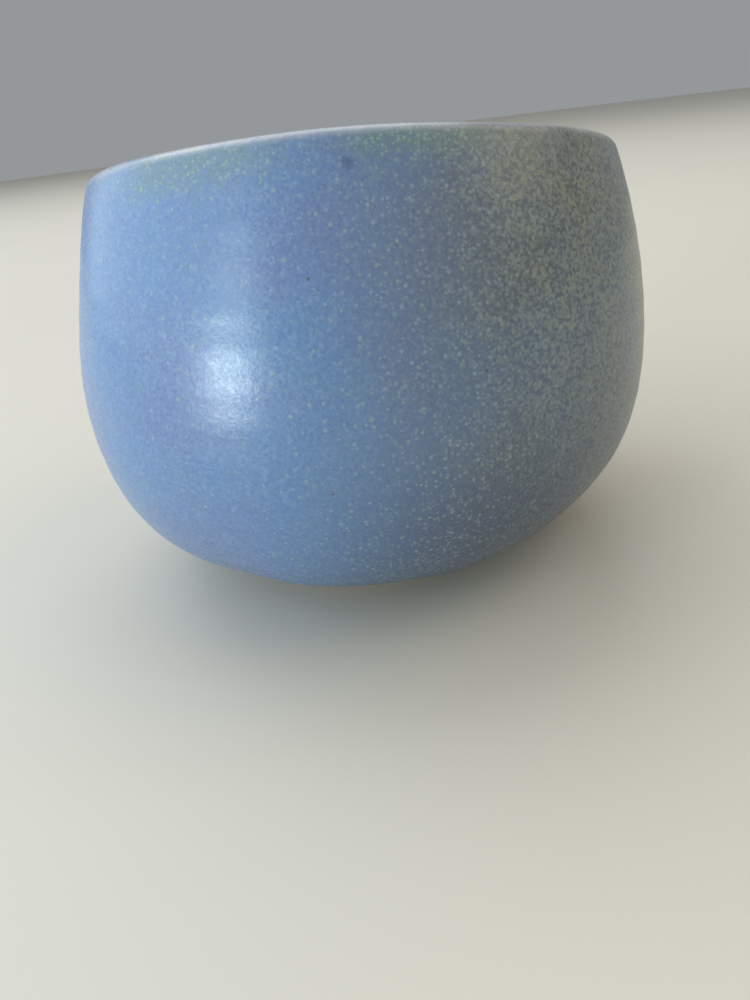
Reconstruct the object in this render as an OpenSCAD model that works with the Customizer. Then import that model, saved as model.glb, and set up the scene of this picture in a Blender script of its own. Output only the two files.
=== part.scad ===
// Yarn bowl: a thrown stoneware pot with a rounded belly, a mouth that tilts down towards the back,
// and a hooked slot through the low side of the wall that guides the yarn.
// Millimetres, +Z up, origin on the table under the middle of the foot ring. The low side is at +Y.

/* [Bowl] */
// Widest diameter, round the belly
belly_diameter = 146; // [120:1:180]
// Thickness of the wall and floor, glaze included
wall = 5.6; // [5:0.1:7]
// Thickness of each coat of glaze
glaze = 0.4; // [0.3:0.05:0.6]

/* [Shape] */
// Tilt of the mouth, down towards the back
mouth_tilt = 11.5; // [4:0.5:12]
// Rise of the wall from the belly's middle to the lip, as a share of the belly's radius
wall_rise = 0.64; // [0.55:0.01:0.7]
// Radius of the wall's curve from the belly to the lip, as a share of the belly's radius
wall_curve = 1.86; // [1.5:0.01:2.5]
// Radius of the curve that rounds the underside, as a share of the belly's radius
underside_curve = 0.49; // [0.44:0.01:0.49]
// Angle below the belly's middle at which the underside's curve starts
underside_start = 13; // [13:1:15]

/* [Foot ring] */
// Gap between the table and the glazed underside
foot_height = 5; // [4.5:0.1:7]
// Outer diameter of the foot ring
foot_diameter = 70; // [60:1:76]
// Width of the foot ring
foot_width = 6; // [5:0.1:8]
// Bevel on the foot ring's lower edges
foot_bevel = 1; // [0.5:0.1:1.5]
// Bare clay left between the foot ring and the outside glaze
bare_band = 5; // [3:0.5:8]

/* [Yarn slot] */
// Width of the slot
slot_width = 7; // [6:0.1:8]
// Radius of the hook, along the middle of the slot
hook_radius = 9; // [8:0.1:10]
// Depth of the hook's centre under the lip's lowest point
hook_depth = 27; // [24:0.5:30]
// Length of the slot's upturned end above the hook's centre
hook_end = 4; // [2:0.5:6]

/* [Hidden] */
$fn = 96;

belly_r = belly_diameter / 2;
underside_r = underside_curve * belly_r;
wall_r = wall_curve * belly_r;
// Middle of the belly's ball shape, and middle of the underside's curve
arm = belly_r - underside_r;
belly_z = foot_height + underside_r + arm * sin(underside_start);
underside_x = arm * cos(underside_start);
underside_z = foot_height + underside_r;
// The wall's curve runs from the belly's middle to the lip, whose round edge has this centre
lip_r = wall / 2;
lip_curve_r = wall_r - lip_r;
lip_angle = asin((wall_rise * belly_r - lip_r) / lip_curve_r);
lip_centre_x = belly_r - wall_r + lip_curve_r * cos(lip_angle);
lip_centre_z = lip_curve_r * sin(lip_angle);
// Lowest point of the lip, at the back
lip_low_z = belly_z + (lip_centre_z + lip_r) * cos(mouth_tilt) - lip_centre_x * sin(mouth_tilt);
hook_z = lip_low_z - hook_depth;
foot_r = foot_diameter / 2;
foot_top = foot_height + glaze;
// Larger than the whole bowl, for cutting shapes
big = 4 * belly_r;
// Each curve stands proud of the one it joins by this much, so that they cross cleanly
overlap = 0.02;
// The wall stands proud of the belly by this much on both sides, where the two meet
step = 0.1;

// Area inside the bowl's outline below the belly, at a depth below its glazed surface
module base_outline(depth) {
    join_z = belly_z - (belly_r - depth) * sin(underside_start);
    intersection() {
        translate([0, belly_z]) circle(belly_r - depth);
        translate([0, join_z]) square([big, big]);
    }
    translate([underside_x, underside_z]) circle(underside_r - depth + overlap);
    translate([0, foot_height + depth - overlap]) square([underside_x, belly_z - foot_height]);
}

// Section through the wall above the belly, at a depth below both of its glazed surfaces
module wall_outline(depth) {
    skin = depth - step;
    translate([belly_r - wall_r, 0]) {
        intersection() {
            difference() {
                circle(wall_r - skin);
                circle(wall_r - wall + skin);
            }
            polygon([[0, 0], [big, 0], [big * cos(lip_angle), big * sin(lip_angle)]]);
        }
        rotate(lip_angle) translate([lip_curve_r, 0]) circle(lip_r - skin + overlap);
    }
}

// Everything on the outer side of the wall's middle line
module outer_half() {
    translate([belly_r - wall_r, 0]) difference() {
        square([big, big]);
        circle(lip_curve_r);
        rotate(lip_angle) square([lip_curve_r, big]);
    }
}

// Puts a shape in the mouth's frame: the origin in the belly's middle, +Z out through the mouth
module in_mouth_frame() {
    translate([0, 0, belly_z]) rotate([-mouth_tilt, 0, 0]) children();
}

// Solid of revolution below the belly's middle, cut off where the wall takes over
module base_solid() {
    difference() {
        rotate_extrude() children();
        in_mouth_frame() translate([-big / 2, -big / 2, 0]) cube(big);
    }
}

module wall_solid() {
    in_mouth_frame() rotate_extrude() children();
}

module lower_half() {
    difference() {
        children();
        translate([-big / 2, 0]) square([big, big]);
    }
}

// Outline of the hooked slot, seen along the Y axis: entry leg, half-round hook and upturned round end
module slot_outline() {
    inner_r = hook_radius - slot_width / 2;
    outer_r = hook_radius + slot_width / 2;
    translate([0, hook_z]) {
        translate([-outer_r, 0]) square([slot_width, big]);
        lower_half() difference() {
            circle(outer_r);
            circle(inner_r);
        }
        translate([inner_r, 0]) square([slot_width, hook_end]);
        translate([hook_radius, hook_end]) rotate(180) lower_half() circle(slot_width / 2);
    }
}

// Takes the yarn slot out of the back of a shape
module with_slot() {
    difference() {
        children();
        translate([0, big, 0]) rotate([90, 0, 0]) linear_extrude(big) slot_outline();
    }
}

module stoneware_pot() {
    color("#c9b79c") with_slot() {
        base_solid() difference() {
            base_outline(glaze);
            base_outline(wall - glaze);
        }
        wall_solid() wall_outline(glaze);
    }
}

module foot_ring() {
    color("#b9a384") rotate_extrude() polygon([
        [foot_r - foot_width + foot_bevel, 0],
        [foot_r - foot_bevel, 0],
        [foot_r, foot_bevel],
        [foot_r, foot_top],
        [foot_r - foot_width, foot_top],
        [foot_r - foot_width, foot_bevel]
    ]);
}

module outside_glaze() {
    color("#8ba6cf") with_slot() {
        base_solid() difference() {
            base_outline(0);
            base_outline(glaze);
            square([foot_r + bare_band, belly_z]);
        }
        wall_solid() intersection() {
            difference() {
                wall_outline(0);
                wall_outline(glaze);
            }
            outer_half();
        }
    }
}

module inside_glaze() {
    color("#9fb4cf") with_slot() {
        base_solid() difference() {
            base_outline(wall - glaze);
            base_outline(wall);
        }
        wall_solid() difference() {
            wall_outline(0);
            wall_outline(glaze);
            outer_half();
        }
    }
}

stoneware_pot();
foot_ring();
outside_glaze();
inside_glaze();
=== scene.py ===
import math

import bmesh
import bpy
import numpy as np
from mathutils import Matrix, Vector
from mathutils.bvhtree import BVHTree


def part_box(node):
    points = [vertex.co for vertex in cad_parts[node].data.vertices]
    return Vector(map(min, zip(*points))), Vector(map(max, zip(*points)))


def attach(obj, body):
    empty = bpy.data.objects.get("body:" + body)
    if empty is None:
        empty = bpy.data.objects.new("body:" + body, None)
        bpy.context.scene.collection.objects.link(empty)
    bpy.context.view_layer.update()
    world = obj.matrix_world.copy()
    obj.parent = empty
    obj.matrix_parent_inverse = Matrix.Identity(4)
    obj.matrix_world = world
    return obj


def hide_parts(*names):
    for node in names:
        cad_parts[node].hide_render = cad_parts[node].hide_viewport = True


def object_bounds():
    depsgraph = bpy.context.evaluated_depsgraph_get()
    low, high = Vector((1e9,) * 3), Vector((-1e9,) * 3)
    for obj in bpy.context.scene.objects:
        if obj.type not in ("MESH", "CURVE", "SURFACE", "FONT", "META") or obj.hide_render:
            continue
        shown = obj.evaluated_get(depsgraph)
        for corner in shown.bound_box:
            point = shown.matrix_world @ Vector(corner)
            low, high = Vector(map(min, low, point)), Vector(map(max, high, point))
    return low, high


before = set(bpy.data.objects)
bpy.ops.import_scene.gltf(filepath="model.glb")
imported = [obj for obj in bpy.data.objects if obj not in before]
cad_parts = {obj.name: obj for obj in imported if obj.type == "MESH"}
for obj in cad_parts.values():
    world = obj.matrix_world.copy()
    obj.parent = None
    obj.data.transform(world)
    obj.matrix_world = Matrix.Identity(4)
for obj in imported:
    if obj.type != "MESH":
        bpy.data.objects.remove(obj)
cad_low, cad_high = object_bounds()

# ---------------------------------------------------------------- sizes, in metres and radians
MM = 0.001
glaze_low, glaze_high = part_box("outside_glaze")
foot_low, foot_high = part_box("foot_ring")

BELLY_R = (glaze_high.x - glaze_low.x) / 2
FOOT_R = (foot_high.x - foot_low.x) / 2
WALL = 5.6 * MM
GLAZE = 0.4 * MM
FOOT_GAP = foot_high.z - GLAZE
FOOT_W = 6 * MM
BARE_BAND = 5 * MM
MOUTH_TILT = math.radians(11.5)
UNDERSIDE_R = 0.49 * BELLY_R
UNDERSIDE_START = math.radians(13)
WALL_R = 1.86 * BELLY_R
WALL_RISE = 0.64 * BELLY_R

ARM = BELLY_R - UNDERSIDE_R
BELLY_Z = FOOT_GAP + UNDERSIDE_R + ARM * math.sin(UNDERSIDE_START)
UNDERSIDE_X = ARM * math.cos(UNDERSIDE_START)
UNDERSIDE_Z = FOOT_GAP + UNDERSIDE_R
LIP_R = WALL / 2
LIP_CURVE_R = WALL_R - LIP_R
LIP_ANGLE = math.asin((WALL_RISE - LIP_R) / LIP_CURVE_R)
LIP_X = BELLY_R - WALL_R + LIP_CURVE_R * math.cos(LIP_ANGLE)
LIP_H = LIP_CURVE_R * math.sin(LIP_ANGLE)
LIP_LOW_Z = BELLY_Z + (LIP_H + LIP_R) * math.cos(MOUTH_TILT) - LIP_X * math.sin(MOUTH_TILT)

SLOT_W = 7 * MM
HOOK_R = 9 * MM
HOOK_Z = LIP_LOW_Z - 27 * MM
HOOK_END = 4 * MM
SLOT_EDGE_R = 1.5 * MM

# The glaze coats stop just short of the clay under them, so that the two never share a face
COAT = 0.9 * GLAZE

MOUTH_AXIS = (0, math.sin(MOUTH_TILT), math.cos(MOUTH_TILT))
BELLY_CENTRE = (0, 0, BELLY_Z)
LIP_TOP = LIP_H + LIP_R

# ---------------------------------------------------------------- camera, on the mouth's high side
CAMERA_AZIMUTH = math.radians(12.2)
CAMERA_DISTANCE = 2.774 * BELLY_R
CAMERA_HEIGHT = 1.501 * BELLY_R
CAMERA_PITCH = math.radians(27.42)
CAMERA_ROLL = math.radians(7.26)
CAMERA_YAW = math.radians(-0.59)
# Focal length and sensor width in mm
CAMERA_LENS = 27.04
CAMERA_SENSOR = 36
# To the right of the bowl as the camera sees it. The lean, the glaze's drift, the painted shade on the right
# and the lights follow it
VIEW_RIGHT = np.array([math.cos(CAMERA_AZIMUTH), math.sin(CAMERA_AZIMUTH), 0.0])

# The kinds of face on the bowl's surface, which decide the piece that a face belongs to
FACE_KINDS = range(4)
OUTSIDE, INSIDE, BARE, SLOT_WALL = FACE_KINDS


def srgb(red, green, blue):
    """A colour given as 0 to 255 sRGB values, as linear RGBA."""
    values = [v / 255 for v in (red, green, blue)]
    linear = [v / 12.92 if v <= 0.04045 else ((v + 0.055) / 1.055) ** 2.4 for v in values]
    return (*linear, 1.0)


# ---------------------------------------------------------------- shape of the bowl
def meridian_azimuths():
    """Azimuths of the grid's meridians, close together round the yarn slot at the back."""
    back = math.pi / 2
    half_fine = math.radians(13)
    fine_count = 80
    rest_count = 170
    fine = np.linspace(back - half_fine, back + half_fine, fine_count, endpoint=False)
    rest = np.linspace(back + half_fine, back - half_fine + 2 * math.pi, rest_count, endpoint=False)
    return np.concatenate([fine, rest])


def from_mouth_frame(radius, azimuth, height):
    """A point given round the tilted axis of the mouth, in the part's frame."""
    across = radius * np.cos(azimuth)
    along = radius * np.sin(azimuth)
    y = along * math.cos(MOUTH_TILT) + height * math.sin(MOUTH_TILT)
    z = BELLY_Z - along * math.sin(MOUTH_TILT) + height * math.cos(MOUTH_TILT)
    return np.stack([across, y, z], -1)


def from_base_frame(radius, azimuth, height):
    """Points given round the upright axis of the base, in the part's frame."""
    height = np.broadcast_to(height, azimuth.shape)
    return np.stack([radius * np.cos(azimuth), radius * np.sin(azimuth), height], -1)


def bowl_grid(azimuth):
    """Rings of points over the pot's surface, from the middle of the underside round the lip to the floor's.

    Returns the points, ring by ring, and four ring numbers: at the glaze line, at the lip's start and end,
    and at the lip's crest.
    """
    seam = -np.arctan(math.tan(MOUTH_TILT) * np.sin(azimuth))
    mouth_azimuth = np.arctan2(
        math.cos(MOUTH_TILT) * np.sin(azimuth) * np.cos(seam) - math.sin(MOUTH_TILT) * np.sin(seam),
        np.cos(azimuth) * np.cos(seam),
    )
    glaze_line_wave = 0.020 * np.sin(3 * azimuth + 0.6) + 0.012 * np.sin(7 * azimuth + 2.1)
    glaze_line_angle = math.acos((FOOT_R + BARE_BAND - UNDERSIDE_X) / UNDERSIDE_R)
    wave_reach = 0.12
    hub_r = 0.5 * MM

    def underside(depth, angles):
        radius = UNDERSIDE_R - depth
        wave = 0
        for angle in angles:
            if depth == 0:
                wave = glaze_line_wave * math.exp(-(((angle - glaze_line_angle) / wave_reach) ** 2))
            turned = angle + wave
            yield from_base_frame(
                UNDERSIDE_X + radius * np.cos(turned), azimuth, UNDERSIDE_Z - radius * np.sin(turned)
            )

    def band(depth, shares):
        radius = BELLY_R - depth
        for share in shares:
            latitude = -UNDERSIDE_START + share * (seam + UNDERSIDE_START)
            yield from_base_frame(radius * np.cos(latitude), azimuth, BELLY_Z + radius * np.sin(latitude))

    def wall(depth, angles):
        radius = WALL_R - depth
        for angle in angles:
            yield from_mouth_frame(
                BELLY_R - WALL_R + radius * math.cos(angle), mouth_azimuth, radius * math.sin(angle)
            )

    def lip(angles):
        for angle in angles:
            yield from_mouth_frame(
                LIP_X + LIP_R * math.cos(angle), mouth_azimuth, LIP_H + LIP_R * math.sin(angle)
            )

    def disc(radii, height):
        for radius in radii:
            yield from_base_frame(radius, azimuth, height)

    bottom = math.pi / 2
    rings = list(disc(np.linspace(hub_r, UNDERSIDE_X, 20, endpoint=False), FOOT_GAP))
    lower = np.linspace(bottom, UNDERSIDE_START, 50, endpoint=False)
    glaze_line = len(rings) + int(np.argmin(abs(lower - glaze_line_angle)))
    rings += underside(0, lower)
    rings += band(0, np.linspace(0, 1, 20, endpoint=False))
    rings += wall(0, np.linspace(0, LIP_ANGLE, 100, endpoint=False))
    lip_start = len(rings)
    rings += lip(np.linspace(LIP_ANGLE, LIP_ANGLE + math.pi, 20, endpoint=False))
    lip_end = len(rings)
    rings += wall(WALL, np.linspace(LIP_ANGLE, 0, 84, endpoint=False))
    rings += band(WALL, np.linspace(1, 0, 16, endpoint=False))
    rings += underside(WALL, np.linspace(UNDERSIDE_START, bottom, 40, endpoint=False))
    rings += disc(np.linspace(UNDERSIDE_X, hub_r, 40), FOOT_GAP + WALL)
    crest = (lip_start + lip_end) // 2
    return np.array(rings), glaze_line, lip_start, lip_end, crest


def smoothstep(value, low, high):
    """Rises smoothly from 0 at low to 1 at high."""
    share = np.clip((value - low) / (high - low), 0, 1)
    return share * share * (3 - 2 * share)


def soften_meridians(points, lip_start, lip_end):
    """Evens out the change of curve between belly, underside and wall, as a potter's rib does.

    The lip keeps its shape.
    """
    spread = 4.5 * MM
    pitch = 0.5 * MM
    kernel_at = np.arange(-3 * spread, 3 * spread + pitch / 2, pitch)
    kernel = np.exp(-((kernel_at / spread) ** 2) / 2)
    kernel /= kernel.sum()
    margin = len(kernel) // 2
    softened = points.copy()
    for column in range(points.shape[1]):
        line = points[:, column]
        run = np.concatenate([[0], np.cumsum(np.linalg.norm(np.diff(line, axis=0), axis=1))])
        even = np.arange(0, run[-1], pitch)
        for axis in range(3):
            level = np.interp(even, run, line[:, axis])
            padded = np.pad(level, margin, mode="reflect", reflect_type="odd")
            softened[:, column, axis] = np.interp(run, even, np.convolve(padded, kernel, mode="valid"))
        to_lip = np.maximum(run[lip_start] - run, run - run[lip_end])
        keep = 1 - smoothstep(to_lip, 3 * MM, 14 * MM)[:, None]
        softened[:, column] = keep * line + (1 - keep) * softened[:, column]
    return softened


# Soft dents (-) and swells (+) that the potter's hands left.
# Each has its azimuth in degrees, then its height, depth and reach in mm
HAND_MARKS = (
    (-112, 14, -1.5, 15),
    (-60, 11, 0.8, 11),
    (-29, 22, -0.8, 16),
    (-153, 80, -1.1, 18),
)


def hand_made(points):
    """Makes points as uneven as a hand-thrown form: a slight lean, an oval, soft waves and hand marks."""
    lean = 1.5 * MM
    oval = 0.25 * MM
    wave = 0.2 * MM
    points = np.array(points, float)
    azimuth = np.arctan2(points[..., 1], points[..., 0])
    height = points[..., 2] / BELLY_R
    lower = np.clip(1 - height, -0.5, 1)
    outward = np.stack([np.cos(azimuth), np.sin(azimuth), 0 * azimuth], -1)
    radial = smoothstep(np.hypot(points[..., 0], points[..., 1]) / BELLY_R, 0.2, 0.8)
    swell = oval * np.cos(2 * azimuth - 0.9) + wave * np.sin(3 * azimuth + 2.4 * height + 1.0)
    swell += 0.5 * wave * np.sin(5 * azimuth - 3.1 * height)
    moved = points - lean * lower[..., None] * VIEW_RIGHT
    for bearing, level, depth, reach in HAND_MARKS:
        turned = azimuth - math.radians(bearing)
        sideways = BELLY_R * np.sin(turned)
        upwards = points[..., 2] - level * MM
        near = np.exp(-(sideways**2 + upwards**2) / (reach * MM) ** 2)
        swell += depth * MM * near * (np.cos(turned) > 0)
    moved += (swell * radial)[..., None] * outward
    lift = 0.25 * MM * np.sin(2 * azimuth + 0.4) + 0.15 * MM * np.sin(5 * azimuth + 1.9)
    moved[..., 2] += lift * smoothstep(height, 0.6, 1.3) * radial
    return moved


def throwing_rings(points, lip_start, lip_end):
    """The shallow spiral of a potter's fingers: just felt outside, plainer inside and on the floor."""
    pitch_outside, depth_outside = 7.5 * MM, 0.035 * MM
    pitch_inside, depth_inside = 6.0 * MM, 0.11 * MM
    azimuth = np.arctan2(points[..., 1], points[..., 0])
    run = np.concatenate(
        [np.zeros((1, points.shape[1])), np.cumsum(np.linalg.norm(np.diff(points, axis=0), axis=2), axis=0)]
    )
    row = np.arange(points.shape[0])[:, None]
    normal = grid_normals(points)
    outer = row < lip_start
    inner = row > lip_end
    to_lip = np.where(outer, run[lip_start][None] - run, run - run[lip_end][None])
    fade = smoothstep(to_lip, 3 * MM, 12 * MM)
    phase_out = 2 * math.pi * run / pitch_outside + azimuth
    phase_in = 2 * math.pi * run / pitch_inside - azimuth
    middle = smoothstep(np.hypot(points[..., 0], points[..., 1]), 2 * MM, 9 * MM)
    swing = 0.7 + 0.3 * np.sin(phase_in / 3.7)
    ridge_out = depth_outside * np.sin(phase_out)
    ridge_in = depth_inside * swing * np.sin(phase_in + 1.6 * np.sin(phase_in / 5.3))
    depth = np.where(outer, ridge_out, np.where(inner, ridge_in, 0))
    return points + (depth * fade * middle)[..., None] * normal


def grid_normals(points):
    """Unit normals of a grid of rings, pointing out of the pot's solid."""
    around = np.roll(points, -1, axis=1) - np.roll(points, 1, axis=1)
    along = np.gradient(points, axis=0)
    normal = np.cross(around, along)
    return normal / np.maximum(np.linalg.norm(normal, axis=2, keepdims=True), 1e-12)


def set_face_kinds(mesh, kinds):
    """Marks the kind of each face as its material index, with an empty material slot for each kind."""
    for _ in FACE_KINDS:
        mesh.materials.append(None)
    mesh.polygons.foreach_set("material_index", kinds)


def grid_mesh(name, points, face_kind):
    """A closed mesh from rings of points, with a fan over each end.

    face_kind gives the kind of the faces that follow a ring.
    """
    rings, columns = points.shape[:2]
    corners = [tuple(p) for p in points.reshape(-1, 3)]
    corners.append(tuple(points[0].mean(0)))
    corners.append(tuple(points[-1].mean(0)))
    first, last = len(corners) - 2, len(corners) - 1
    faces, kinds = [], []
    for ring in range(rings - 1):
        here, there = ring * columns, (ring + 1) * columns
        for column in range(columns):
            beside = (column + 1) % columns
            faces.append((here + column, here + beside, there + beside, there + column))
        kinds += [face_kind(ring)] * columns
    end = (rings - 1) * columns
    for column in range(columns):
        beside = (column + 1) % columns
        faces.append((first, beside, column))
        faces.append((last, end + column, end + beside))
        kinds += [face_kind(0), face_kind(rings - 2)]
    mesh = bpy.data.meshes.new(name)
    mesh.from_pydata(corners, [], faces)
    set_face_kinds(mesh, kinds)
    mesh.update()
    return mesh


# ---------------------------------------------------------------- yarn slot
def arc(centre, radius, start, end, count):
    """Points on an arc in the XZ plane, angles in degrees."""
    turns = np.radians(np.linspace(start, end, count))
    return [(centre[0] + radius * math.cos(t), centre[1] + radius * math.sin(t)) for t in turns]


def slot_outline():
    """The hooked slot's outline in the XZ plane: down the entry leg, round the hook, up to its round end."""
    top = cad_high.z + 10 * MM
    outer, inner = HOOK_R + SLOT_W / 2, HOOK_R - SLOT_W / 2
    outline = [(-inner, top), (-outer, top)]
    outline += arc((0, HOOK_Z), outer, 180, 360, 70)
    outline += arc((HOOK_R, HOOK_Z + HOOK_END), SLOT_W / 2, 0, 180, 26)
    outline += arc((0, HOOK_Z), inner, 360, 180, 34)
    return outline


def slot_cutter(outline):
    """A solid of the slot's outline that reaches through the back wall."""
    mesh = bpy.data.meshes.new("slot_cutter")
    near, far = 0.4 * BELLY_R, 1.3 * BELLY_R
    count = len(outline)
    corners = [(x, y, z) for y in (near, far) for x, z in outline]
    faces = [tuple(range(count)), tuple(range(2 * count - 1, count - 1, -1))]
    for i in range(count):
        after = (i + 1) % count
        faces.append((i, i + count, after + count, after))
    mesh.from_pydata(corners, [], faces)
    set_face_kinds(mesh, [SLOT_WALL] * len(faces))
    work = bmesh.new()
    work.from_mesh(mesh)
    bmesh.ops.recalc_face_normals(work, faces=work.faces)
    work.to_mesh(mesh)
    work.free()
    cutter = bpy.data.objects.new("slot_cutter", mesh)
    bpy.context.scene.collection.objects.link(cutter)
    return cutter


def distance_to_outline(x, z, outline):
    """Distance of each point (x, z) from the closed outline."""
    corners = np.array(outline)
    starts, ends = corners, np.roll(corners, -1, axis=0)
    point = np.stack([x, z], -1)
    nearest = np.full(len(point), np.inf)
    for start, end in zip(starts, ends):
        edge = end - start
        share = np.clip(((point - start) @ edge) / (edge @ edge), 0, 1)
        gap = point - (start + share[:, None] * edge)
        nearest = np.minimum(nearest, np.hypot(gap[:, 0], gap[:, 1]))
    return nearest


def cut_slot(whole):
    """The bowl's mesh with the slot cut through its back wall and the slot's edges rounded over."""
    outline = slot_outline()
    cutter = slot_cutter(outline)
    bowl = bpy.data.objects.new("whole_bowl", whole)
    bpy.context.scene.collection.objects.link(bowl)
    cut = bowl.modifiers.new("slot", "BOOLEAN")
    cut.object = cutter
    cut.operation = "DIFFERENCE"
    cut.solver = "EXACT"
    evaluated = bowl.evaluated_get(bpy.context.evaluated_depsgraph_get())
    mesh = bpy.data.meshes.new_from_object(evaluated)
    surface = BVHTree.FromPolygons(
        [v.co for v in whole.vertices], [tuple(p.vertices) for p in whole.polygons]
    )
    at = vertex_array(mesh)
    gap = distance_to_outline(at[:, 0], at[:, 2], outline)
    for i in np.flatnonzero((at[:, 1] > 0) & (gap < SLOT_EDGE_R)):
        point = Vector(at[i])
        _, normal, _, _ = surface.find_nearest(point)
        sunk = SLOT_EDGE_R - math.sqrt(max(SLOT_EDGE_R**2 - (SLOT_EDGE_R - gap[i]) ** 2, 0))
        mesh.vertices[int(i)].co = point - sunk * normal
    bpy.data.objects.remove(bowl)
    bpy.data.objects.remove(cutter)
    return mesh


def vertex_array(mesh):
    """A mesh's vertices as an array, a row each."""
    at = np.zeros(len(mesh.vertices) * 3, np.float32)
    mesh.vertices.foreach_get("co", at)
    return at.reshape(-1, 3).astype(float)


# ---------------------------------------------------------------- pieces
def add_piece(name, mesh, node, material):
    """Puts a finished mesh in the scene as the piece that stands for a CAD node."""
    piece = bpy.data.objects.new(name, mesh)
    bpy.context.scene.collection.objects.link(piece)
    mesh.materials.clear()
    mesh.materials.append(material)
    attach(piece, "root")
    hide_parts(node)


def coat_mesh(name, source, kinds):
    """A thin closed coat: the source's faces of the given kinds, the same faces sunk under them, a rim."""
    at = vertex_array(source)
    normals = np.array([v.normal for v in source.vertices], float)
    chosen = [tuple(p.vertices) for p in source.polygons if p.material_index in kinds]
    used = sorted({i for face in chosen for i in face})
    number = {old: new for new, old in enumerate(used)}
    count = len(used)
    top = [tuple(number[i] for i in face) for face in chosen]
    under = [tuple(i + count for i in reversed(face)) for face in top]
    edges = dict.fromkeys(edge for face in top for edge in zip(face, face[1:] + face[:1]))
    rim = [(b, a, a + count, b + count) for a, b in edges if (b, a) not in edges]
    upper = at[used]
    lower = upper - COAT * normals[used]
    mesh = bpy.data.meshes.new(name)
    mesh.from_pydata([tuple(p) for p in np.vstack([upper, lower])], [], top + under + rim)
    mesh.polygons.foreach_set("use_smooth", [True] * (len(top) + len(under)) + [False] * len(rim))
    mesh.update()
    mesh.normals_split_custom_set_from_vertices(
        [tuple(n) for n in np.vstack([normals[used], -normals[used]])]
    )
    return mesh


def clay_mesh(name, source):
    """The fired clay: the bowl's whole surface, sunk by the glaze's thickness."""
    mesh = source.copy()
    mesh.name = name
    at = vertex_array(source)
    normals = np.array([v.normal for v in source.vertices], float)
    mesh.vertices.foreach_set("co", (at - GLAZE * normals).astype(np.float32).ravel())
    mesh.polygons.foreach_set("use_smooth", [True] * len(mesh.polygons))
    mesh.polygons.foreach_set("material_index", [0] * len(mesh.polygons))
    mesh.update()
    return mesh


def foot_mesh(name, azimuth):
    """The trimmed foot ring: a turned section with soft corners and fine tool marks."""
    inner, outer = FOOT_R - FOOT_W, FOOT_R
    top = foot_high.z + 0.3 * MM
    soft = 1.1 * MM
    mark_depth = 0.05 * MM
    mark_pitch = 0.9 * MM
    section = [(inner + 0.3 * MM, top)]
    section += arc((inner + soft, soft), soft, 180, 270, 8)
    section += arc((outer - soft, soft), soft, 270, 360, 8)
    section += [(outer, 0.55 * top), (outer + 0.35 * MM, 0.8 * top), (outer + 1.2 * MM, top)]
    rings = np.array([from_base_frame(x, azimuth, z) for x, z in section])
    marks = mark_depth * np.sin(rings[..., 2] / mark_pitch * 2 * math.pi + 2 * azimuth)
    above_corners = rings[..., 2] > 1.2 * MM
    outward = np.stack([np.cos(azimuth), np.sin(azimuth), 0 * azimuth], -1)
    rings = rings + (above_corners * marks)[..., None] * outward
    rings = hand_made(rings)
    count, columns = rings.shape[:2]
    faces = []
    for ring in range(count):
        here, there = ring * columns, ((ring + 1) % count) * columns
        for column in range(columns):
            beside = (column + 1) % columns
            faces.append((here + column, here + beside, there + beside, there + column))
    mesh = bpy.data.meshes.new(name)
    mesh.from_pydata([tuple(p) for p in rings.reshape(-1, 3)], [], faces)
    mesh.polygons.foreach_set("use_smooth", [True] * len(faces))
    mesh.update()
    return mesh


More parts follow.
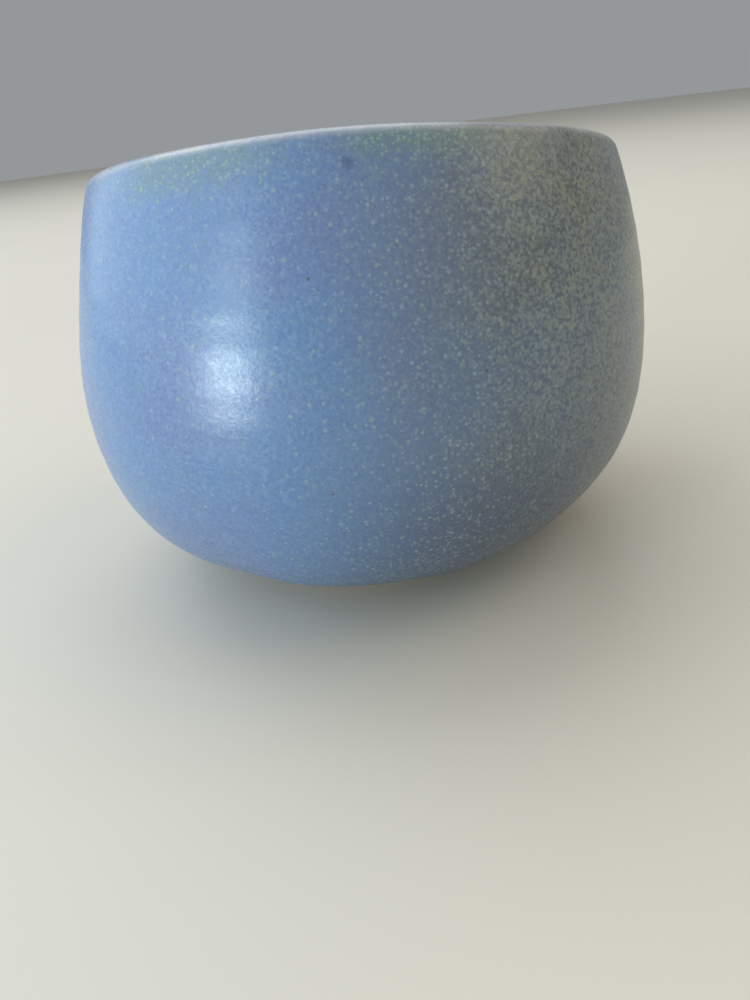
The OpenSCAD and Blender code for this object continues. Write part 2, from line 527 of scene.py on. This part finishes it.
# ---------------------------------------------------------------- material helpers
class Shader:
    """A material's node tree, with one short call for each kind of node."""

    def __init__(self, name):
        self.material = bpy.data.materials.new(name)
        self.material.use_nodes = True
        self.tree = self.material.node_tree
        self.surface = self.tree.nodes["Principled BSDF"]
        self.place = self.node("ShaderNodeTexCoord").outputs["Object"]

    def node(self, kind, **settings):
        """A new node of a kind, with its settings."""
        made = self.tree.nodes.new(kind)
        for key, value in settings.items():
            setattr(made, key, value)
        return made

    def put(self, socket, value):
        """Feeds a socket from another node's output or with a plain value."""
        if isinstance(value, bpy.types.NodeSocket):
            self.tree.links.new(value, socket)
        else:
            socket.default_value = value

    def math(self, operation, a, b):
        """The result of one operation on two values."""
        made = self.node("ShaderNodeMath", operation=operation)
        self.put(made.inputs[0], a)
        self.put(made.inputs[1], b)
        return made.outputs[0]

    def span(self, value, low, high, out_low=0.0, out_high=1.0):
        """Maps low..high smoothly to out_low..out_high and holds it beyond them."""
        made = self.node("ShaderNodeMapRange", interpolation_type="SMOOTHSTEP")
        for socket, given in zip(made.inputs, (value, low, high, out_low, out_high)):
            self.put(socket, given)
        return made.outputs[0]

    def along(self, direction, origin=(0, 0, 0)):
        """Distance of a point from the origin given, along a direction."""
        offset = self.node("ShaderNodeVectorMath", operation="SUBTRACT")
        self.put(offset.inputs[0], self.place)
        offset.inputs[1].default_value = origin
        made = self.node("ShaderNodeVectorMath", operation="DOT_PRODUCT")
        self.put(made.inputs[0], offset.outputs[0])
        made.inputs[1].default_value = direction
        return made.outputs["Value"]

    def bearing(self):
        """Bearing round the upright axis, in degrees from +X."""
        parts = self.node("ShaderNodeSeparateXYZ")
        self.put(parts.inputs[0], self.place)
        turn = self.math("ARCTAN2", parts.outputs["Y"], parts.outputs["X"])
        return self.math("MULTIPLY", turn, 180 / math.pi)

    def near(self, point, radius, edge):
        """1 within radius of a point, fading to 0 over the edge's width."""
        made = self.node("ShaderNodeVectorMath", operation="DISTANCE")
        self.put(made.inputs[0], self.place)
        made.inputs[1].default_value = point
        return self.span(made.outputs["Value"], radius, radius + edge, 1.0, 0.0)

    def noise(self, size, detail, roughness, offset):
        """Soft noise with features of about the given size in metres."""
        made = self.node("ShaderNodeTexNoise", noise_dimensions="4D")
        self.put(made.inputs["Vector"], self.place)
        made.inputs["Scale"].default_value = 1 / size
        made.inputs["Detail"].default_value = detail
        made.inputs["Roughness"].default_value = roughness
        made.inputs["W"].default_value = offset
        return made.outputs["Fac"]

    def specks(self, spacing, radius, density, offset, softness=0.35):
        """Round specks of about the given radius, in the share of the cells that density gives.

        Returns the specks' shape and a random value for each.
        """
        moved = self.node("ShaderNodeVectorMath", operation="ADD")
        self.put(moved.inputs[0], self.place)
        moved.inputs[1].default_value = (offset, offset, offset)
        cells = self.node("ShaderNodeTexVoronoi", voronoi_dimensions="3D", feature="F1")
        self.put(cells.inputs["Vector"], moved.outputs[0])
        cells.inputs["Scale"].default_value = 1 / spacing
        pick = self.node("ShaderNodeSeparateColor")
        self.put(pick.inputs[0], cells.outputs["Color"])
        size = self.span(pick.outputs[1], 0, 1, 0.55 * radius / spacing, 1.25 * radius / spacing)
        inner = self.math("MULTIPLY", size, 1 - softness)
        shape = self.span(cells.outputs["Distance"], inner, size, 1.0, 0.0)
        chosen = self.math("LESS_THAN", pick.outputs[0], density)
        return self.math("MULTIPLY", shape, chosen), pick.outputs[2]

    def blend(self, share, a, b):
        """Colour a where the share is 0, and colour b where it is 1."""
        made = self.node("ShaderNodeMix", data_type="RGBA")
        colour_a, colour_b = made.inputs[6], made.inputs[7]
        self.put(made.inputs["Factor"], share)
        self.put(colour_a, a)
        self.put(colour_b, b)
        return made.outputs[2]

    def tint(self, under, colour, share, strength):
        """Lays a colour over the one under it, by a share times a strength."""
        return self.blend(self.math("MULTIPLY", share, strength), under, colour)

    def bump(self, height, distance, strength, below=None):
        """A bumped normal, on top of the one below if there is one."""
        made = self.node("ShaderNodeBump")
        made.inputs["Strength"].default_value = strength
        made.inputs["Distance"].default_value = distance
        self.put(made.inputs["Height"], height)
        if below is not None:
            self.put(made.inputs["Normal"], below)
        return made.outputs[0]


# ---------------------------------------------------------------- colours
BLUE = srgb(100, 132, 176)
LAVENDER = srgb(108, 126, 170)
TEAL = srgb(106, 141, 168)
PALE_GRAIN = srgb(132, 160, 188)
DEEP_GRAIN = srgb(78, 100, 140)
# Painted shade, laid over the lower bowl and its right-hand side
SHADE_BLUE = srgb(80, 92, 112)
# Partly the glaze's own grey-green, partly painted shade on the right-hand side
GREY_GLAZE_AND_SHADE = srgb(104, 107, 108)
GREY_CRYSTAL = srgb(152, 161, 152)
YELLOW_CRYSTAL = srgb(152, 156, 134)
GREEN_BREAK = srgb(112, 134, 116)
PALE_GREEN = srgb(146, 168, 144)
DARK_GREEN = srgb(104, 130, 104)
PALE_SPECK = srgb(150, 166, 172)
CREAM_SPECK = srgb(158, 168, 148)
IRON = srgb(92, 82, 62)
COBALT = srgb(66, 84, 128)
THIN_GLAZE = srgb(176, 174, 180)

BUFF_CLAY = srgb(196, 176, 148)
POT_BLUSH = srgb(186, 158, 126)
FOOT_BLUSH = srgb(178, 148, 116)
PALE_SAND = srgb(216, 200, 174)
DARK_GROG = srgb(112, 92, 72)
FLOOR_SHADES = (srgb(210, 204, 191), srgb(218, 212, 200))


# ---------------------------------------------------------------- materials
def on_wall(azimuth, below_lip):
    """A point on the outside of the wall, by its azimuth in degrees and its depth under the lip."""
    height = LIP_TOP - below_lip
    radius = BELLY_R - WALL_R + math.sqrt(WALL_R**2 - height**2)
    return tuple(hand_made(from_mouth_frame(radius, math.radians(azimuth), height)))


class Glaze(Shader):
    """The satin glaze: where a point lies on the bowl, the noises that the layers share, and each layer."""

    def __init__(self, name):
        super().__init__(name)
        # From -1 on the left of the bowl to 1 on its right
        self.side = self.math("DIVIDE", self.along(tuple(VIEW_RIGHT)), BELLY_R)
        self.height = self.along((0, 0, 1))
        self.below_lip = self.math("SUBTRACT", LIP_TOP, self.along(MOUTH_AXIS, BELLY_CENTRE))
        self.clouds = self.noise(30 * MM, 3, 0.5, 1.7)
        self.drift = self.noise(12 * MM, 3, 0.6, 4.2)
        self.curd = self.noise(0.85 * MM, 2.5, 0.55, 5.6)
        self.fine = self.noise(0.45 * MM, 2, 0.6, 3.3)

    def mottled_blue(self):
        """Blue with lavender and teal clouds and a fine grain."""
        grain = self.noise(0.9 * MM, 3, 0.6, 8.8)
        colour = self.blend(self.span(self.clouds, 0.40, 0.64), BLUE, LAVENDER)
        colour = self.tint(colour, TEAL, self.span(self.drift, 0.50, 0.72), 0.30)
        colour = self.tint(colour, PALE_GRAIN, self.span(grain, 0.46, 0.68), 0.45)
        return self.tint(colour, DEEP_GRAIN, self.span(self.fine, 0.50, 0.36), 0.35)

    def crystals(self, colour):
        """Matte crystals, the colour of lichen: few on the left, and a greyer field of them on the right,
        whose grey is partly the glaze's own grey-green and partly painted shade.
        """
        shoulder = self.near(on_wall(-46, 12 * MM), 8 * MM, 24 * MM)
        # The grey over the right-hand side is partly the glaze's own colour and partly painted shade
        right = self.span(self.side, -0.30, 0.55)
        grey_and_shade = self.math("MULTIPLY", right, self.span(self.clouds, 0.28, 0.60, 0.72, 1.0))
        grey_and_shade = self.math("MAXIMUM", grey_and_shade, self.math("MULTIPLY", shoulder, 0.95))
        colour = self.tint(colour, GREY_GLAZE_AND_SHADE, grey_and_shade, 0.95)

        crowd = self.math("MAXIMUM", self.span(self.side, -0.05, 0.80), self.math("MULTIPLY", shoulder, 0.7))
        crowd = self.math("MULTIPLY", crowd, self.span(self.drift, 0.34, 0.56, 0.65, 1.0))
        level = self.math("ADD", self.curd, self.math("MULTIPLY", crowd, 0.12))
        yellow = self.math("MULTIPLY", shoulder, self.span(self.drift, 0.4, 0.6))
        lichen = self.blend(yellow, GREY_CRYSTAL, YELLOW_CRYSTAL)
        strength = self.span(crowd, 0.0, 0.8, 0.20, 0.85)
        return self.tint(colour, lichen, self.span(level, 0.46, 0.78), strength)

    def green_breaks(self, colour):
        """Green specks that crowd up to the lip at two places and thin out below."""
        turn = self.bearing()
        patches = self.math(
            "MAXIMUM",
            self.math("MULTIPLY", self.span(turn, -128, -118), self.span(turn, -84, -100)),
            self.math("MULTIPLY", self.span(turn, -80, -70), self.span(turn, -45, -56)),
        )
        depth = self.span(self.drift, 0.35, 0.65, 6 * MM, 14 * MM)
        streak = self.span(self.below_lip, depth, 2 * MM)
        band = self.math("MULTIPLY", streak, self.math("ADD", self.math("MULTIPLY", patches, 0.8), 0.2))
        density = self.math("MULTIPLY", band, 1.2)
        colour = self.tint(colour, GREEN_BREAK, band, 0.42)
        for spacing, radius, offset, green in ((1.2, 0.45, 0.9, PALE_GREEN), (0.9, 0.36, 1.3, DARK_GREEN)):
            shape, _ = self.specks(spacing * MM, radius * MM, density, offset, 0.7)
            colour = self.tint(colour, green, shape, 0.65)
        return colour

    def painted_shade_low(self, colour):
        """Painted shade: the glaze darkens towards the foot, most of all on the right-hand side, which is in
        shade.
        """
        # Painted shade: darker towards the foot, weighted towards the right-hand side
        low = self.span(self.height, 1.5 * BELLY_Z, 0.3 * BELLY_Z)
        return self.tint(colour, SHADE_BLUE, low, self.span(self.side, -0.45, 0.3, 0.12, 0.80))

    def pale_specks(self, colour):
        """Small pale specks, sparse on the left and thicker to the right and towards the foot."""
        low = self.span(self.height, 0.9 * BELLY_Z, 0.35 * BELLY_Z)
        low = self.math("MULTIPLY", low, self.span(self.side, -0.5, 0.1))
        thick = self.math("MAXIMUM", self.span(self.side, -0.3, 0.6), low)
        density = self.math("ADD", self.math("MULTIPLY", thick, 0.80), 0.12)
        for spacing, radius, offset in ((1.25, 0.50, 0.3), (0.90, 0.38, 0.7)):
            shape, chance = self.specks(spacing * MM, radius * MM, density, offset, 0.7)
            pale = self.blend(self.span(chance, 0.3, 0.8), PALE_SPECK, CREAM_SPECK)
            colour = self.tint(colour, pale, shape, 0.50)
        return colour

    def iron_specks(self, colour):
        """A few small, dark specks of iron."""
        shape, _ = self.specks(5 * MM, 0.36 * MM, 0.35, 0.2, 0.5)
        return self.tint(colour, IRON, shape, 0.7)

    def cobalt_smudge(self, colour):
        """The one dark smudge, just under the lip."""
        return self.tint(colour, COBALT, self.near(on_wall(-79, 6.6 * MM), 0.5 * MM, 1.3 * MM), 0.6)

    def worn_lip(self, colour):
        """The glaze thins over the lip and shows the clay."""
        thin = self.span(self.below_lip, 2.4 * MM, 0.4 * MM)
        return self.tint(colour, THIN_GLAZE, thin, self.span(self.drift, 0.30, 0.65, 0.35, 0.85))

    def orange_peel(self):
        """The normal of a surface that is slightly uneven, with a finer grain on top."""
        peel = self.bump(self.noise(1.5 * MM, 2, 0.5, 6.1), 0.10 * MM, 0.55)
        return self.bump(self.fine, 0.04 * MM, 0.6, peel)


def glaze_material(name, smudged):
    """Satin blue glaze, with the cobalt smudge on the coat that has it."""
    glaze = Glaze(name)
    colour = glaze.mottled_blue()
    colour = glaze.crystals(colour)
    colour = glaze.green_breaks(colour)
    colour = glaze.painted_shade_low(colour)
    colour = glaze.pale_specks(colour)
    colour = glaze.iron_specks(colour)
    if smudged:
        colour = glaze.cobalt_smudge(colour)
    colour = glaze.worn_lip(colour)
    glaze.put(glaze.surface.inputs["Base Color"], colour)
    glaze.put(glaze.surface.inputs["Roughness"], glaze.span(glaze.curd, 0.3, 0.7, 0.25, 0.34))
    glaze.put(glaze.surface.inputs["IOR"], 1.5)
    glaze.put(glaze.surface.inputs["Normal"], glaze.orange_peel())
    return glaze.material


def clay_material(name, blush_colour):
    """Unglazed buff stoneware: fine sandy grain, soft firing blush and a few dark grog specks."""
    clay = Shader(name)
    blush = clay.noise(18 * MM, 3, 0.6, 2.5)
    sand = clay.noise(0.7 * MM, 3, 0.7, 7.0)
    grog, _ = clay.specks(2.4 * MM, 0.28 * MM, 0.6, 0.1)
    colour = clay.blend(clay.span(blush, 0.35, 0.70), BUFF_CLAY, blush_colour)
    colour = clay.tint(colour, PALE_SAND, clay.span(sand, 0.45, 0.75), 0.4)
    colour = clay.tint(colour, DARK_GROG, grog, 0.55)
    clay.put(clay.surface.inputs["Base Color"], colour)
    clay.put(clay.surface.inputs["Roughness"], clay.span(sand, 0.3, 0.7, 0.72, 0.9))
    clay.put(clay.surface.inputs["Normal"], clay.bump(sand, 0.12 * MM, 0.6))
    return clay.material


def floor_material():
    """Pale and plain, with a faint unevenness of tone."""
    floor = Shader("pale_floor")
    floor.put(floor.surface.inputs["Base Color"], floor.blend(floor.noise(0.25, 2, 0.5, 0.4), *FLOOR_SHADES))
    floor.put(floor.surface.inputs["Roughness"], 0.55)
    return floor.material


# ---------------------------------------------------------------- stage
def add_camera():
    """The camera, level with the high side of the lip, looking down at the bowl and slightly rolled."""
    turn = CAMERA_AZIMUTH - CAMERA_YAW
    right = np.array([math.cos(turn), math.sin(turn), 0.0])
    ahead = np.array([-math.sin(turn), math.cos(turn), 0.0]) * math.cos(CAMERA_PITCH)
    ahead[2] = -math.sin(CAMERA_PITCH)
    up = np.cross(right, ahead)
    rolled_right = math.cos(CAMERA_ROLL) * right - math.sin(CAMERA_ROLL) * up
    rolled_up = math.sin(CAMERA_ROLL) * right + math.cos(CAMERA_ROLL) * up
    place = (
        CAMERA_DISTANCE * math.sin(CAMERA_AZIMUTH),
        -CAMERA_DISTANCE * math.cos(CAMERA_AZIMUTH),
        CAMERA_HEIGHT,
    )
    camera = bpy.data.objects.new("camera", bpy.data.cameras.new("camera"))
    bpy.context.scene.collection.objects.link(camera)
    camera.data.sensor_width = CAMERA_SENSOR
    camera.data.lens = CAMERA_LENS
    camera.data.clip_start = 0.01
    camera.matrix_world = Matrix(
        [[rolled_right[i], rolled_up[i], -ahead[i], place[i]] for i in range(3)] + [[0, 0, 0, 1]]
    )
    bpy.context.scene.camera = camera


def add_area_light(name, place, size, power, colour):
    """A rectangular lamp that faces the bowl, its size in metres and its power in watts."""
    light = bpy.data.lights.new(name, "AREA")
    light.shape = "RECTANGLE"
    light.size, light.size_y = size
    light.energy = power
    light.color = colour
    holder = bpy.data.objects.new(name, light)
    bpy.context.scene.collection.objects.link(holder)
    holder.location = place
    holder.rotation_euler = (Vector(BELLY_CENTRE) - Vector(place)).to_track_quat("-Z", "Y").to_euler()


def around(bearing, elevation, distance):
    """A place seen from the belly's middle: its bearing to the left of the camera and its elevation."""
    turn, rise = math.radians(bearing), math.radians(elevation)
    flat = distance * math.cos(rise)
    left, near = flat * math.sin(turn), flat * math.cos(turn)
    away = (-VIEW_RIGHT[1], VIEW_RIGHT[0])
    return (
        -left * VIEW_RIGHT[0] - near * away[0],
        -left * VIEW_RIGHT[1] - near * away[1],
        BELLY_Z + distance * math.sin(rise),
    )


def add_lights():
    """A window and its upper pane, the daylight round it, a warm room and a skylight behind the bowl."""
    add_area_light("window", around(51, 7, 2.0), (0.52, 0.48), 20.0, (0.74, 0.93, 1.0))
    add_area_light("upper_window", around(50, 27, 2.0), (0.36, 0.68), 5.0, (0.80, 0.93, 1.0))
    add_area_light("daylight", around(100, 34, 2.6), (3.8, 3.2), 48.0, (0.86, 0.95, 1.0))
    add_area_light("room", around(-88, 48, 1.6), (1.2, 1.2), 6.0, (1.0, 0.88, 0.70))
    add_area_light("skylight", around(165, 58, 2.0), (2.2, 1.5), 19.0, (0.93, 0.97, 1.0))
    world = bpy.data.worlds.new("world")
    world.use_nodes = True
    background = world.node_tree.nodes["Background"]
    background.inputs["Color"].default_value = (1.0, 1.05, 1.08, 1)
    background.inputs["Strength"].default_value = 0.30
    bpy.context.scene.world = world


def add_floor():
    """A round, plain floor under the bowl."""
    radius = 4.0
    sides = 96
    turns = [2 * math.pi * i / sides for i in range(sides)]
    corners = [(radius * math.cos(t), radius * math.sin(t), 0) for t in turns]
    mesh = bpy.data.meshes.new("floor")
    mesh.from_pydata(corners, [], [tuple(range(sides))])
    mesh.materials.append(floor_material())
    floor = bpy.data.objects.new("floor", mesh)
    bpy.context.scene.collection.objects.link(floor)


# ---------------------------------------------------------------- build
def build_bowl():
    """Shapes the bowl's surface once, then makes the four pieces from it."""
    azimuth = meridian_azimuths()
    points, glaze_line, lip_start, lip_end, crest = bowl_grid(azimuth)
    points = soften_meridians(points, lip_start, lip_end)
    points = throwing_rings(points, lip_start, lip_end)

    def face_kind(ring):
        if ring < glaze_line:
            return BARE
        return OUTSIDE if ring < crest else INSIDE

    whole = grid_mesh("whole_bowl", points, face_kind)
    surface = cut_slot(whole)
    surface.vertices.foreach_set("co", hand_made(vertex_array(surface)).astype(np.float32).ravel())
    surface.update()

    outside = coat_mesh("outside_glaze_coat", surface, (OUTSIDE, SLOT_WALL))
    inside = coat_mesh("inside_glaze_coat", surface, (INSIDE,))
    clay = clay_mesh("fired_stoneware_pot", surface)
    foot = foot_mesh("trimmed_foot_ring", azimuth)
    add_piece(
        "outside_glaze_coat", outside, "outside_glaze",
        glaze_material("satin_blue_glaze", smudged=True),
    )
    add_piece(
        "inside_glaze_coat", inside, "inside_glaze",
        glaze_material("liner_glaze", smudged=False),
    )
    add_piece(
        "fired_stoneware_pot", clay, "stoneware_pot",
        clay_material("bare_stoneware", POT_BLUSH),
    )
    add_piece(
        "trimmed_foot_ring", foot, "foot_ring",
        clay_material("foot_clay", FOOT_BLUSH),
    )


add_camera()
add_lights()
add_floor()
build_bowl()
bpy.context.scene.view_settings.view_transform = "Standard"
